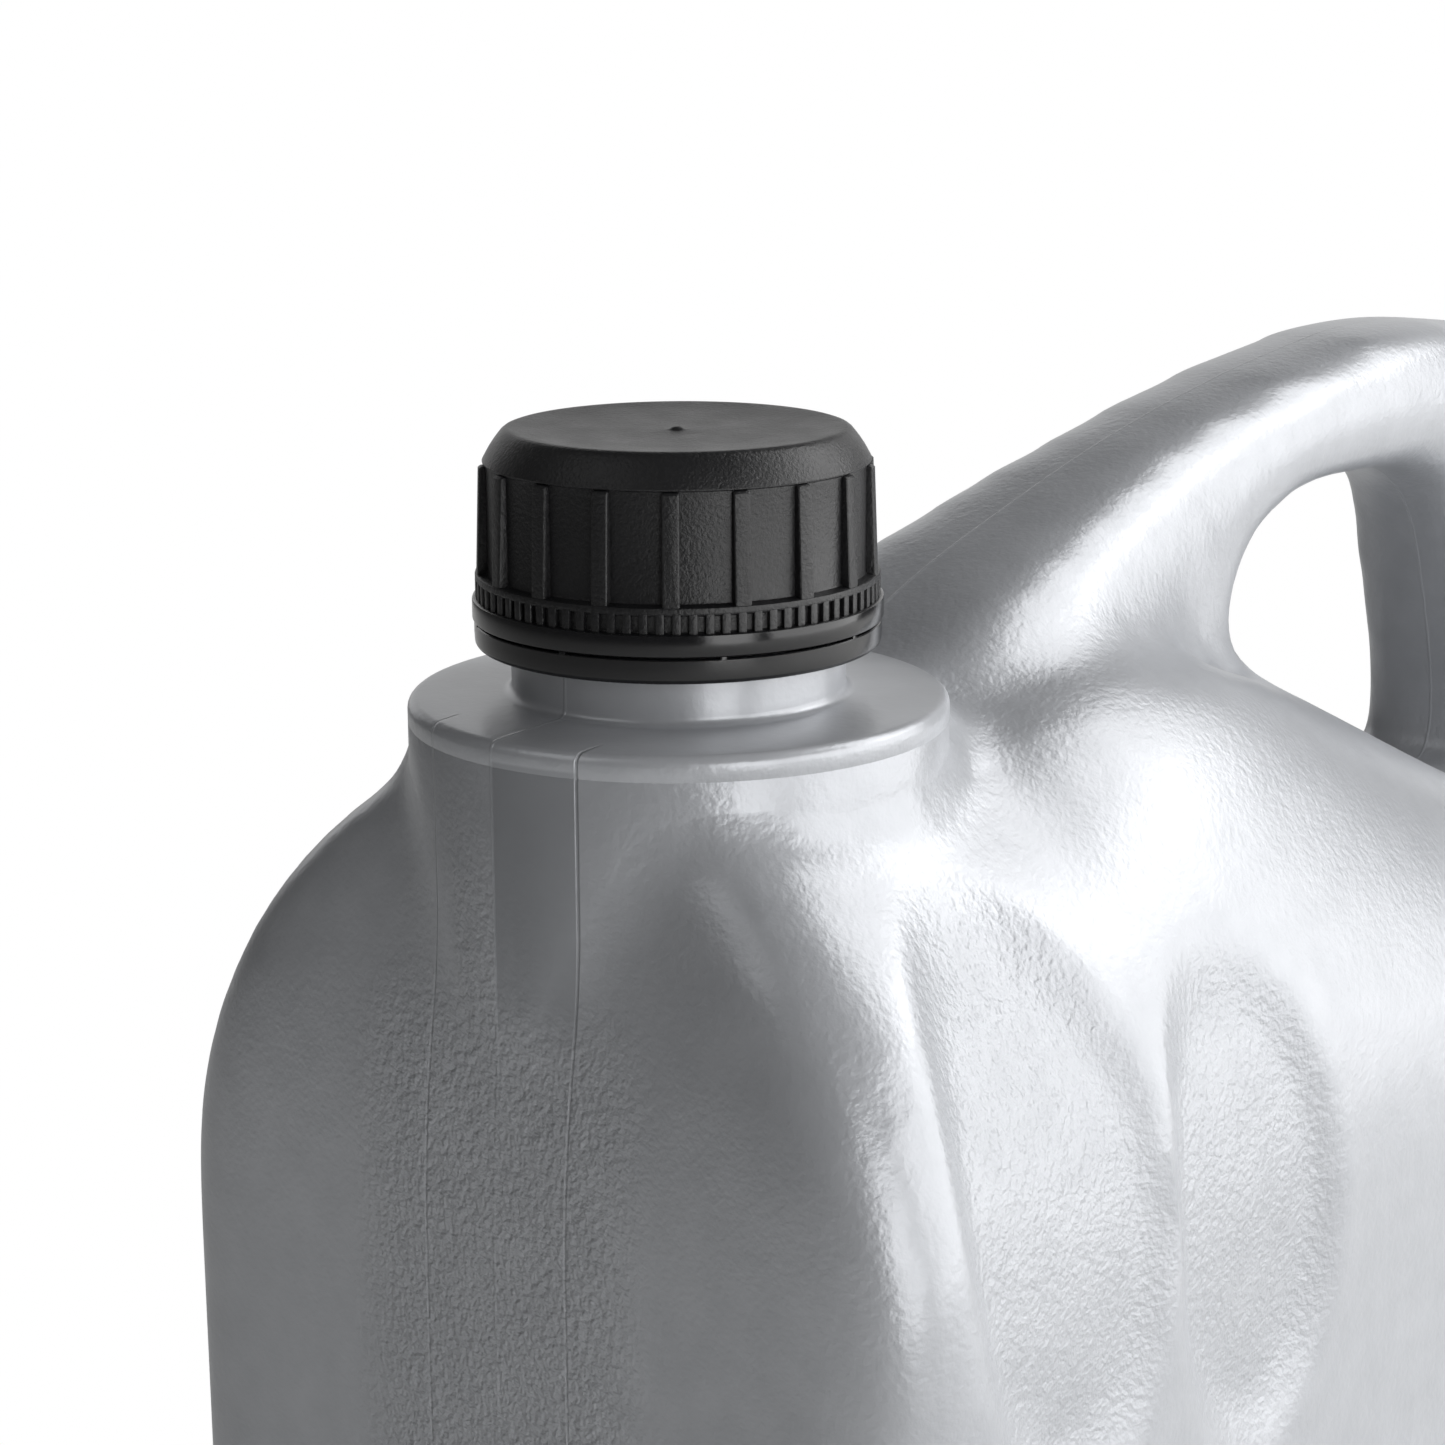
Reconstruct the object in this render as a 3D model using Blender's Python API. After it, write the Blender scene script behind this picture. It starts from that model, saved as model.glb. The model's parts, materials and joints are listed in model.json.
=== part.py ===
# Five-litre oil canister: a blow-moulded bottle with a hollow handle and a short threaded
# neck, closed by a ribbed screw cap that stands on a tamper-evident band.
# Metres, +Z up, origin under the middle of the foot. The neck is towards -X.
import math

import bmesh
import bpy
from mathutils import Vector

MM = 0.001

# Bottle
BODY_LENGTH = 250 * MM
BODY_WIDTH = 120 * MM
WALL = 1.6 * MM
CORNER_RADIUS = 13 * MM
FOOT_RADIUS = 10 * MM
FOOT_RECESS = 2 * MM
FOOT_RING_WIDTH = 12 * MM
STRAIGHT_WALL_TOP = 150 * MM
SHOULDER_RISE = 65 * MM          # from the straight wall to the crest, at the neck
CREST_SWELL = 4.5 * MM           # the crest swells by this much just behind the neck
SWELL_STRETCH = (-72 * MM, -42 * MM)
CREST_FALL = 52 * MM             # then it falls by this much, to make room for the hand
FALL_STRETCH = (-42 * MM, 115 * MM)
END_ROUND_START = 160 * MM       # the narrow ends lean inwards above here
END_ROUND_HEIGHT = 64 * MM
FRONT_END_LEAN = 30 * MM
REAR_END_LEAN = 16 * MM
HUMP_RISE = 3.5 * MM             # a hump on each side of the handle's root
VALLEY_DEPTH = 15 * MM           # and the valley between them, which the handle grows out of
VALLEY_ACROSS = (25 * MM, 16 * MM)
ROOT_STRETCH = (-72 * MM, -56 * MM, -16 * MM, 12 * MM)   # humps and valley come and go along here
DIMPLE_DEPTH = 2.6 * MM
DIMPLES = [(-92, 166, 21, 37), (-54.5, 156, 19.5, 34)]   # X and Z of the middle, half sizes

# Handle, in the X-Z plane
HANDLE_ROOT_HALF_WIDTH = 20 * MM
HANDLE_GRIP_HALF_WIDTH = 15 * MM
HANDLE_TAPER = (-50 * MM, 10 * MM)
HANDLE_ROUND = 8 * MM
HANDLE_OUTLINE = [(-62, 190), (-61, 216.5), (-53, 221.3), (-23, 231.4), (5.5, 238.7), (37, 244),
                  (63, 246.4), (90, 244.6), (108, 240.5), (119, 229), (122, 205), (121, 170),
                  (60, 150), (-20, 160)]
GAP_OUTLINE = [(10, 160), (10, 200), (16, 216), (30, 223.5), (55, 224.5), (78, 221), (89, 206), (89, 160)]

# Neck, with heights above the slit between cap and band
NECK_X = -92 * MM
SLIT_Z = 227 * MM
PLATFORM_RADIUS = 31.8 * MM
PLATFORM_TOP = -9.2 * MM
NECK_RADIUS = 19 * MM
NECK_BORE = 16.8 * MM
LIP_TOP = 18.1 * MM
THREAD_PITCH = 4.2 * MM
THREAD_TURNS = 1.75
THREAD_START = 5.5 * MM
THREAD_START_ANGLE = math.radians(2)

# Closure
CAP_RADIUS = 24 * MM
CAP_BORE = 21 * MM
CAP_PLATE_UNDERSIDE = 20.3 * MM
RIB_COUNT = 18
TOOTH_COUNT = 80
SLIT = 0.3 * MM


def smooth_step(low, high, value):
    t = min(max((value - low) / (high - low), 0.0), 1.0)
    return t * t * (3 - 2 * t)


def make_material(name, colour, roughness, metallic=0.0):
    material = bpy.data.materials.new(name)
    material.use_nodes = True
    shader = material.node_tree.nodes["Principled BSDF"]
    shader.inputs["Base Color"].default_value = (*colour, 1.0)
    shader.inputs["Roughness"].default_value = roughness
    shader.inputs["Metallic"].default_value = metallic
    return material


def make_object(name, bm, material=None):
    bmesh.ops.recalc_face_normals(bm, faces=bm.faces)
    mesh = bpy.data.meshes.new(name)
    bm.to_mesh(mesh)
    bm.free()
    obj = bpy.data.objects.new(name, mesh)
    bpy.context.scene.collection.objects.link(obj)
    if material:
        mesh.materials.append(material)
    return obj


def bake(obj):
    """Replace an object's mesh by what its modifiers make of it."""
    graph = bpy.context.evaluated_depsgraph_get()
    mesh = bpy.data.meshes.new_from_object(obj.evaluated_get(graph))
    obj.modifiers.clear()
    obj.data = mesh


def boolean(obj, other, operation):
    modifier = obj.modifiers.new(operation.lower(), "BOOLEAN")
    modifier.operation = operation
    modifier.object = other
    bake(obj)
    bpy.data.objects.remove(other)


def gather(obj, others):
    bm = bmesh.new()
    bm.from_mesh(obj.data)
    for other in others:
        bm.from_mesh(other.data)
        bpy.data.objects.remove(other)
    bm.to_mesh(obj.data)
    bm.free()


def skin_rings(bm, rings, closed_column=False):
    """Join rings of vertices, each with the same count, into a tube of quads."""
    pairs = list(zip(rings, rings[1:]))
    if closed_column:
        pairs.append((rings[-1], rings[0]))
    for lower, upper in pairs:
        for i in range(len(lower)):
            j = (i + 1) % len(lower)
            bm.faces.new((lower[i], lower[j], upper[j], upper[i]))


def turned(name, profile, segments=64, material=None, solid=False):
    """Turn (radius, height) points about the neck's axis.

    A hollow profile is a closed loop of points. A solid one starts and ends on the axis,
    and its first and last points are the two poles.
    """
    bm = bmesh.new()
    ring_points = profile[1:-1] if solid else profile
    rings = []
    for radius, height in ring_points:
        ring = []
        for i in range(segments):
            angle = 2 * math.pi * i / segments
            ring.append(bm.verts.new((NECK_X + radius * math.cos(angle),
                                      radius * math.sin(angle), SLIT_Z + height)))
        rings.append(ring)
    skin_rings(bm, rings, closed_column=not solid)
    if solid:
        for pole_height, ring in ((profile[0][1], rings[0]), (profile[-1][1], rings[-1])):
            pole = bm.verts.new((NECK_X, 0, SLIT_Z + pole_height))
            for i in range(segments):
                bm.faces.new((pole, ring[i], ring[(i + 1) % segments]))
    return make_object(name, bm, material)


def helix_ridge(name, root, crest, start, turns, steps_per_turn=32):
    """A thread ridge: a trapezium carried up a right-hand helix, sunk at both ends."""
    root_half, crest_half = 0.95 * MM, 0.45 * MM
    steps = int(turns * steps_per_turn)
    run_out = steps_per_turn // 8
    bm = bmesh.new()
    rings = []
    for i in range(steps + 1):
        angle = THREAD_START_ANGLE + 2 * math.pi * i / steps_per_turn
        height = start + THREAD_PITCH * i / steps_per_turn
        fade = 0.15 + 0.85 * min(1.0, i / run_out, (steps - i) / run_out)
        tip = root + (crest - root) * fade
        ring = []
        for radius, rise in ((root, -root_half), (tip, -crest_half), (tip, crest_half), (root, root_half)):
            ring.append(bm.verts.new((NECK_X + radius * math.cos(angle),
                                      radius * math.sin(angle), SLIT_Z + height + rise)))
        rings.append(ring)
    skin_rings(bm, rings)
    bm.faces.new(rings[0])
    bm.faces.new(rings[-1])
    return make_object(name, bm)


def radial_blocks(name, count, first_angle, inner, outer, bottom, top, width, chamfer=0.0):
    """Blocks standing round the cap: ribs, or the teeth of the tear ring."""
    bm = bmesh.new()
    for k in range(count):
        angle = first_angle + 2 * math.pi * k / count
        out = Vector((math.cos(angle), math.sin(angle), 0))
        side = Vector((-out.y, out.x, 0))
        centre = Vector((NECK_X, 0, SLIT_Z))
        outline = ((inner, bottom), (outer, bottom), (outer, top - chamfer),
                   (outer - chamfer, top), (inner, top))
        faces = []
        for sign in (-1, 1):
            corners = []
            for radius, height in outline:
                corner = centre + out * radius + side * (sign * width / 2) + Vector((0, 0, height))
                corners.append(bm.verts.new(corner))
            bm.faces.new(corners)
            faces.append(corners)
        skin_rings(bm, faces)
    return make_object(name, bm)


def rounded_outline(low_x, high_x, half_width, radius, corner_steps=6, long_steps=30, short_steps=6):
    """Points round a rectangle with round corners, anticlockwise from above."""
    radius = min(radius, 0.98 * half_width)
    centres = ((high_x - radius, half_width - radius, 0), (low_x + radius, half_width - radius, 1),
               (low_x + radius, radius - half_width, 2), (high_x - radius, radius - half_width, 3))
    arcs = []
    for x, y, quarter in centres:
        arc = []
        for i in range(corner_steps + 1):
            angle = math.pi / 2 * (quarter + i / corner_steps)
            arc.append((x + radius * math.cos(angle), y + radius * math.sin(angle)))
        arcs.append(arc)
    points = []
    for k, arc in enumerate(arcs):
        points += arc
        start, end = arc[-1], arcs[(k + 1) % 4][0]
        steps = long_steps if k % 2 == 0 else short_steps
        for i in range(1, steps):
            points.append((start[0] + (end[0] - start[0]) * i / steps,
                           start[1] + (end[1] - start[1]) * i / steps))
    return points


def body_outline(z):
    """The bottle's outline at a height: an elliptical shoulder over straight walls."""
    rise = max(z - STRAIGHT_WALL_TOP, 0) / SHOULDER_RISE
    lean = max(z - END_ROUND_START, 0) / END_ROUND_HEIGHT
    foot = max(FOOT_RADIUS - z, 0) / FOOT_RADIUS
    inset = FOOT_RADIUS * (1 - math.sqrt(max(1 - 0.6 * foot * foot, 0)))
    half_width = BODY_WIDTH / 2 * math.sqrt(1 - rise * rise) - inset
    lean_in = 1 - math.sqrt(1 - lean * lean)
    low_x = -BODY_LENGTH / 2 + FRONT_END_LEAN * lean_in + inset
    high_x = BODY_LENGTH / 2 - REAR_END_LEAN * lean_in - inset
    return rounded_outline(low_x, high_x, half_width, CORNER_RADIUS)


def follow_crest(x, y, z):
    """Stretch the shoulder to the crest's own height along the bottle, with its humps and valley."""
    if z <= STRAIGHT_WALL_TOP:
        return z
    crest = (SHOULDER_RISE + CREST_SWELL * smooth_step(*SWELL_STRETCH, x)
             - CREST_FALL * smooth_step(*FALL_STRETCH, x))
    share = (z - STRAIGHT_WALL_TOP) / SHOULDER_RISE
    come, full, leave, gone = ROOT_STRETCH
    root = share * smooth_step(come, full, x) * smooth_step(gone, leave, x)
    hump = smooth_step(50 * MM, 34 * MM, abs(y)) * smooth_step(14 * MM, 24 * MM, abs(y))
    valley = smooth_step(*VALLEY_ACROSS, abs(y))
    return STRAIGHT_WALL_TOP + share * crest + root * (HUMP_RISE * hump - VALLEY_DEPTH * valley)


def body_block():
    heights = [-3 * MM, 0, 3 * MM, 6 * MM, FOOT_RADIUS]
    heights += [FOOT_RADIUS + (STRAIGHT_WALL_TOP - FOOT_RADIUS) * i / 4 for i in range(1, 5)]
    heights += [STRAIGHT_WALL_TOP + SHOULDER_RISE * math.sin(math.pi / 2 * i / 14) for i in range(1, 15)]
    bm = bmesh.new()
    rings = []
    for z in heights:
        ring = []
        for x, y in body_outline(max(z, 0)):
            ring.append(bm.verts.new((x, y, follow_crest(x, y, z))))
        rings.append(ring)
    skin_rings(bm, rings)
    bm.faces.new(rings[0])
    # The last ring has no width, so its two sides meet along the crest.
    bmesh.ops.remove_doubles(bm, verts=bm.verts, dist=0.01 * MM)
    return make_object("body_block", bm)


def handle_block():
    """The handle's outline with its finger gap, filled and rounded along both sides."""
    curve = bpy.data.curves.new("handle_block", "CURVE")
    curve.dimensions = "2D"
    curve.fill_mode = "BOTH"
    curve.resolution_u = 8
    curve.render_resolution_u = 0
    curve.bevel_depth = HANDLE_ROUND
    curve.bevel_resolution = 3
    curve.offset = -HANDLE_ROUND
    curve.extrude = HANDLE_ROOT_HALF_WIDTH - HANDLE_ROUND
    for outline in (HANDLE_OUTLINE, GAP_OUTLINE):
        spline = curve.splines.new("BEZIER")
        spline.bezier_points.add(len(outline) - 1)
        spline.use_cyclic_u = True
        for point, (x, z) in zip(spline.bezier_points, outline):
            point.co = (x * MM, z * MM, 0)
            point.handle_left_type = point.handle_right_type = "AUTO"
    flat = bpy.data.objects.new("handle_block", curve)
    bpy.context.scene.collection.objects.link(flat)
    flat.rotation_euler = (math.pi / 2, 0, 0)
    bpy.context.view_layer.update()
    graph = bpy.context.evaluated_depsgraph_get()
    mesh = bpy.data.meshes.new_from_object(flat.evaluated_get(graph))
    mesh.transform(flat.matrix_world)
    bpy.data.objects.remove(flat)
    bm = bmesh.new()
    bm.from_mesh(mesh)
    bmesh.ops.remove_doubles(bm, verts=bm.verts, dist=0.01 * MM)
    narrowing = 1 - HANDLE_GRIP_HALF_WIDTH / HANDLE_ROOT_HALF_WIDTH
    for vertex in bm.verts:
        vertex.co.y *= 1 - narrowing * smooth_step(*HANDLE_TAPER, vertex.co.x)
    return make_object("handle_block", bm)


def dimple_share(co):
    """How deep a point lies in the side dimples, from 0 outside to 1 on their floors."""
    share = 0.0
    for x, z, half_length, half_height in DIMPLES:
        reach = math.hypot((co.x / MM - x) / half_length, (co.z / MM - z) / half_height)
        share = max(share, 1 - smooth_step(0.72, 1.05, reach))
    return share * smooth_step(30 * MM, 38 * MM, abs(co.y))


def outer_skin():
    """The bottle without its neck: body, boss and handle run together into one soft skin."""
    skin = body_block()
    boss = turned("boss", [(0, -60 * MM), (PLATFORM_RADIUS - 0.3 * MM, -60 * MM),
                           (PLATFORM_RADIUS - 0.3 * MM, PLATFORM_TOP - 1 * MM),
                           (0, PLATFORM_TOP - 1 * MM)], solid=True)
    # The remesh runs overlapping closed blocks into one skin, so they are only gathered here.
    gather(skin, [boss, handle_block()])
    remesh = skin.modifiers.new("run_together", "REMESH")
    remesh.mode = "VOXEL"
    remesh.voxel_size = 3 * MM
    soften = skin.modifiers.new("soften", "SMOOTH")
    soften.factor = 0.5
    soften.iterations = 8
    bake(skin)
    skin.data.update()
    normals = [vertex.normal.copy() for vertex in skin.data.vertices]
    for vertex, normal in zip(skin.data.vertices, normals):
        vertex.co -= normal * (DIMPLE_DEPTH * dimple_share(vertex.co))
    return skin


def decimated(obj, ratio):
    thin = obj.modifiers.new("fewer_faces", "DECIMATE")
    thin.ratio = ratio
    thin.use_collapse_triangulate = True
    bake(obj)


def neck_and_platform():
    h = MM
    profile = [(0, -20 * h), (30.4 * h, -20 * h), (PLATFORM_RADIUS, -14.5 * h), (PLATFORM_RADIUS, -11 * h),
               (31.4 * h, -10 * h), (30.5 * h, PLATFORM_TOP), (21.6 * h, PLATFORM_TOP), (20.4 * h, -8.5 * h),
               (20 * h, -7.2 * h), (20 * h, -1 * h), (21.6 * h, -1 * h), (21.7 * h, -0.2 * h),
               (20.6 * h, 0.6 * h), (NECK_RADIUS, 1.5 * h), (NECK_RADIUS, 16.8 * h), (18.6 * h, LIP_TOP),
               (0, LIP_TOP)]
    neck = turned("neck", profile, segments=48, solid=True)
    ridge = helix_ridge("neck_thread", NECK_RADIUS - 0.5 * h, 20.5 * h, THREAD_START, THREAD_TURNS)
    boolean(neck, ridge, "UNION")
    return neck


def prism(name, low_x, high_x, half_width, radius, low_z, high_z):
    bm = bmesh.new()
    rings = []
    for z in (low_z, high_z):
        rings.append([bm.verts.new((x, y, z)) for x, y in
                      rounded_outline(low_x, high_x, half_width, radius, long_steps=1, short_steps=1)])
    skin_rings(bm, rings)
    bm.faces.new(rings[0])
    bm.faces.new(rings[-1])
    return make_object(name, bm)


def can_body(material):
    can = outer_skin()
    can.name = "can_body"
    cavity = bpy.data.objects.new("cavity", can.data.copy())
    bpy.context.scene.collection.objects.link(cavity)
    shrink = cavity.modifiers.new("wall", "DISPLACE")
    shrink.mid_level = 0
    shrink.strength = -WALL
    bake(cavity)
    decimated(cavity, 0.045)
    decimated(can, 0.07)
    boolean(can, neck_and_platform(), "UNION")
    below = prism("below", -BODY_LENGTH, BODY_LENGTH, BODY_WIDTH, 5 * MM, -20 * MM, 0)
    boolean(can, below, "DIFFERENCE")
    inset = FOOT_RADIUS * 0.4 + FOOT_RING_WIDTH
    recess = prism("recess", inset - BODY_LENGTH / 2, BODY_LENGTH / 2 - inset, BODY_WIDTH / 2 - inset,
                   CORNER_RADIUS - 6 * MM, -1 * MM, FOOT_RECESS)
    boolean(can, recess, "DIFFERENCE")
    floor = prism("floor", -BODY_LENGTH, BODY_LENGTH, BODY_WIDTH, 5 * MM, -20 * MM, FOOT_RECESS + WALL)
    boolean(cavity, floor, "DIFFERENCE")
    bore = turned("bore", [(0, -30 * MM), (NECK_BORE, -30 * MM), (NECK_BORE, LIP_TOP + 2 * MM),
                           (0, LIP_TOP + 2 * MM)], segments=48, solid=True)
    boolean(cavity, bore, "UNION")
    boolean(can, cavity, "DIFFERENCE")
    can.data.materials.clear()
    can.data.materials.append(material)
    return can


def cap(material):
    h = MM
    profile = [(0, 22.0 * h), (0.6 * h, 22.0 * h), (0.9 * h, 21.7 * h), (15 * h, 21.75 * h),
               (18.3 * h, 22.0 * h), (19.4 * h, 22.1 * h), (20.4 * h, 21.7 * h), (21.4 * h, 20.8 * h),
               (22.2 * h, 19.4 * h), (22.6 * h, 18.5 * h), (22.3 * h, 18.2 * h), (22.3 * h, 5.7 * h),
               (23.6 * h, 5.3 * h), (23.6 * h, 4.6 * h), (23.2 * h, 4.4 * h), (23.2 * h, 2.6 * h),
               (CAP_RADIUS, 2.3 * h), (CAP_RADIUS, 0),
               (22.4 * h, 0), (22.4 * h, 2 * h), (CAP_BORE, 2.8 * h), (CAP_BORE, CAP_PLATE_UNDERSIDE),
               (0, CAP_PLATE_UNDERSIDE)]
    body = turned("cap", profile, segments=60, material=material, solid=True)
    ridge = helix_ridge("cap_thread", CAP_BORE + 0.4 * h, 19.5 * h, THREAD_START - THREAD_PITCH / 2, 1.5)
    boolean(body, ridge, "UNION")
    ribs = radial_blocks("ribs", RIB_COUNT, math.radians(-141), 21.8 * h, 23.45 * h, 4.8 * h, 18 * h,
                         2 * h, chamfer=0.5 * h)
    boolean(body, ribs, "UNION")
    teeth = radial_blocks("teeth", TOOTH_COUNT, 0, 22.9 * h, 23.55 * h, 2.3 * h, 4.75 * h, 0.95 * h)
    boolean(body, teeth, "UNION")
    return body


def tamper_band(material):
    h = MM
    profile = [(23.8 * h, -SLIT), (22.4 * h, -SLIT), (22.4 * h, -1.9 * h), (20.8 * h, -1.45 * h),
               (20.8 * h, -2 * h), (22.3 * h, -3.15 * h), (23.2 * h, -3.15 * h), (23.6 * h, -2.95 * h),
               (23.8 * h, -2.5 * h)]
    return turned("tamper_band", profile, segments=48, material=material)


def disc(name, radius, low, high, material):
    return turned(name, [(0, low), (radius, low), (radius, high), (0, high)], segments=48,
                  material=material, solid=True)


for old in list(bpy.data.objects):
    bpy.data.objects.remove(old)

silver = make_material("silver_hdpe", (0.45, 0.46, 0.48), 0.42)
black = make_material("black_polypropylene", (0.012, 0.012, 0.013), 0.45)
white = make_material("pe_foam", (0.85, 0.85, 0.83), 0.8)
foil = make_material("aluminium_foil", (0.8, 0.8, 0.82), 0.3, metallic=1.0)

can_body(silver)
cap(black)
tamper_band(black)
disc("liner_board", 20.3 * MM, 18.9 * MM, 20 * MM, white)
disc("liner_foil", 20 * MM, 18.4 * MM, 18.6 * MM, foil)
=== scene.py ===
# Five-litre oil canister: the looks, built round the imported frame.
import json
import math

import bpy
from mathutils import Matrix, Vector


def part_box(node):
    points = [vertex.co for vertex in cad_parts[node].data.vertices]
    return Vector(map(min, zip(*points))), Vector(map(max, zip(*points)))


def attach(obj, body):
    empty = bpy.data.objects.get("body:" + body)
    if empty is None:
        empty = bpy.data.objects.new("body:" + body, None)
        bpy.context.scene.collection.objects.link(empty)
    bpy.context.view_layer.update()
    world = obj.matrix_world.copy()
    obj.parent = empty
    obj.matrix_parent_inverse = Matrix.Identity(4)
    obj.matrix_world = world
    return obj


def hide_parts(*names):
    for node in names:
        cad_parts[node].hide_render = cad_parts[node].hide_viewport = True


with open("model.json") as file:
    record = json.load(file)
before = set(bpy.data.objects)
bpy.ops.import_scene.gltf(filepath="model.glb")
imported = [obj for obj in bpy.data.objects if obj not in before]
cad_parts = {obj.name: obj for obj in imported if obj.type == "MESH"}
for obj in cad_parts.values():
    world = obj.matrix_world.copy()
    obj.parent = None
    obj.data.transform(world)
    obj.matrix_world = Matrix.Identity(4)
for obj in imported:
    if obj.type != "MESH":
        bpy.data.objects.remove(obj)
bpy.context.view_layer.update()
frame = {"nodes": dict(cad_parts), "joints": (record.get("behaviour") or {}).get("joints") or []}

mm = 0.001

# The neck's axis and the slit under the cap come from the frame.
capTurn = next(joint for joint in frame["joints"] if joint["name"] == "cap_turn")
neckX = capTurn["pos_m"][0]
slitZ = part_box("cap")[0].z
canLow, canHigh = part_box("can_body")


def smoothStep(low, high, value):
    t = min(max((value - low) / (high - low), 0.0), 1.0)
    return t * t * (3 - 2 * t)


def pick(piece):
    if bpy.context.object and bpy.context.object.mode != "OBJECT":
        bpy.ops.object.mode_set(mode="OBJECT")
    bpy.ops.object.select_all(action="DESELECT")
    piece.select_set(True)
    bpy.context.view_layer.objects.active = piece


def editAll(piece):
    pick(piece)
    bpy.ops.object.mode_set(mode="EDIT")
    bpy.ops.mesh.select_all(action="SELECT")


def leaveEdit():
    bpy.ops.object.mode_set(mode="OBJECT")


def applyModifier(piece, kind, **settings):
    pick(piece)
    modifier = piece.modifiers.new(kind.lower(), kind)
    for name, value in settings.items():
        setattr(modifier, name, value)
    bpy.ops.object.modifier_apply(modifier=modifier.name)


def cutOrJoin(piece, other, operation):
    applyModifier(piece, "BOOLEAN", object=other, operation=operation, solver="MANIFOLD")
    bpy.data.objects.remove(other)


def settle(piece, angle=35):
    # Put the place into the mesh and shade it round, with its real edges kept sharp.
    pick(piece)
    bpy.ops.object.transform_apply(location=True, rotation=True, scale=True)
    bpy.ops.object.shade_smooth_by_angle(angle=math.radians(angle))


def fromPoints(name, points, edges=(), faces=()):
    mesh = bpy.data.meshes.new(name)
    mesh.from_pydata(points, edges, faces)
    piece = bpy.data.objects.new(name, mesh)
    bpy.context.scene.collection.objects.link(piece)
    return piece


def arcPoints(centre, radius, fromDegrees, toDegrees, steps=6):
    # Part of a round edge, as (radius, height) points of a profile.
    points = []
    for i in range(steps + 1):
        angle = math.radians(fromDegrees + (toDegrees - fromDegrees) * i / steps)
        points.append((centre[0] + radius * math.cos(angle),
                       centre[1] + radius * math.sin(angle)))
    return points


def spinProfile(name, profile, steps, closed=False):
    # Spin (radius, height above the slit) points, in mm, about the neck's axis.
    points = [(neckX + radius * mm, 0, slitZ + height * mm) for radius, height in profile]
    edges = [(i, i + 1) for i in range(len(points) - 1)]
    if closed:
        edges.append((len(points) - 1, 0))
    piece = fromPoints(name, points, edges)
    editAll(piece)
    bpy.ops.mesh.spin(steps=steps, angle=2 * math.pi, center=(neckX, 0, 0), axis=(0, 0, 1))
    bpy.ops.mesh.select_all(action="SELECT")
    bpy.ops.mesh.remove_doubles(threshold=0.002 * mm)
    bpy.ops.mesh.normals_make_consistent(inside=False)
    leaveEdit()
    return piece


# Both threads are cut to one helix. Heights are above the slit, in mm.
thread = {
    "start": 5.5, "pitch": 4.2, "stepsPerTurn": 96, "footHalf": 0.95, "crestHalf": 0.45, "runOut": 0.15,
}


def helixRidge(name, root, crest, start, turns):
    # A trapezium carried up a right-hand helix, fading out at both ends.
    steps = int(turns * thread["stepsPerTurn"])
    fadeSteps = thread["stepsPerTurn"] // 8
    points, faces = [], []
    for i in range(steps + 1):
        angle = math.radians(2) + 2 * math.pi * i / thread["stepsPerTurn"]
        height = start + thread["pitch"] * i / thread["stepsPerTurn"]
        fade = thread["runOut"] + (1 - thread["runOut"]) * min(1.0, i / fadeSteps, (steps - i) / fadeSteps)
        tip = root + (crest - root) * fade
        for radius, rise in ((root, -thread["footHalf"]), (tip, -thread["crestHalf"]),
                             (tip, thread["crestHalf"]), (root, thread["footHalf"])):
            points.append((neckX + radius * mm * math.cos(angle), radius * mm * math.sin(angle),
                           slitZ + (height + rise) * mm))
    for i in range(steps):
        for k in range(4):
            a, b = 4 * i + k, 4 * i + (k + 1) % 4
            faces.append((a, b, b + 4, a + 4))
    faces += [(0, 1, 2, 3), tuple(4 * steps + k for k in range(4))]
    ridge = fromPoints(name, points, faces=faces)
    editAll(ridge)
    bpy.ops.mesh.normals_make_consistent(inside=False)
    leaveEdit()
    return ridge


# The bottle is blow-moulded, so everything on it runs together in soft blends.
bottle = {
    "length": canHigh.x - canLow.x, "width": canHigh.y - canLow.y,
    "straightTop": 150 * mm, "shoulderRise": 65 * mm, "shoulderRings": 16, "slices": 11,
    "crestSwell": 4.5 * mm, "swellStretch": (-72 * mm, -42 * mm),
    "crestFall": 52 * mm, "fallStretch": (-42 * mm, 115 * mm),
    "endRoundStart": 160 * mm, "endRoundHeight": 64 * mm, "frontLean": 30 * mm, "rearLean": 16 * mm,
    "cornerRadius": 13 * mm, "footRadius": 10 * mm, "footSpare": 3 * mm,
    "footRecess": 2 * mm, "footRing": 16 * mm, "recessRound": 1.5 * mm,
    # A hump on each side, with a valley between it and the handle's root.
    "humpRise": 3.5 * mm, "humpAcross": (50 * mm, 34 * mm, 24 * mm, 14 * mm),
    "valleyDepth": 15 * mm, "valleyAcross": (25 * mm, 16 * mm),
    "rootStretch": (-72 * mm, -56 * mm, -16 * mm, 12 * mm),
    # Each dimple: middle X and Z, then half sizes, in mm.
    "dimples": [(-92, 166, 21, 37), (-54.5, 156, 19.5, 34)],
    "dimpleDepth": 2.8 * mm, "dimpleWall": (0.68, 1.03), "dimpleSide": (28 * mm, 36 * mm),
    "bossHeight": 52 * mm, "bossSpare": 0.1 * mm,
    "voxel": 3.15 * mm, "softening": 10,
}
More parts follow.
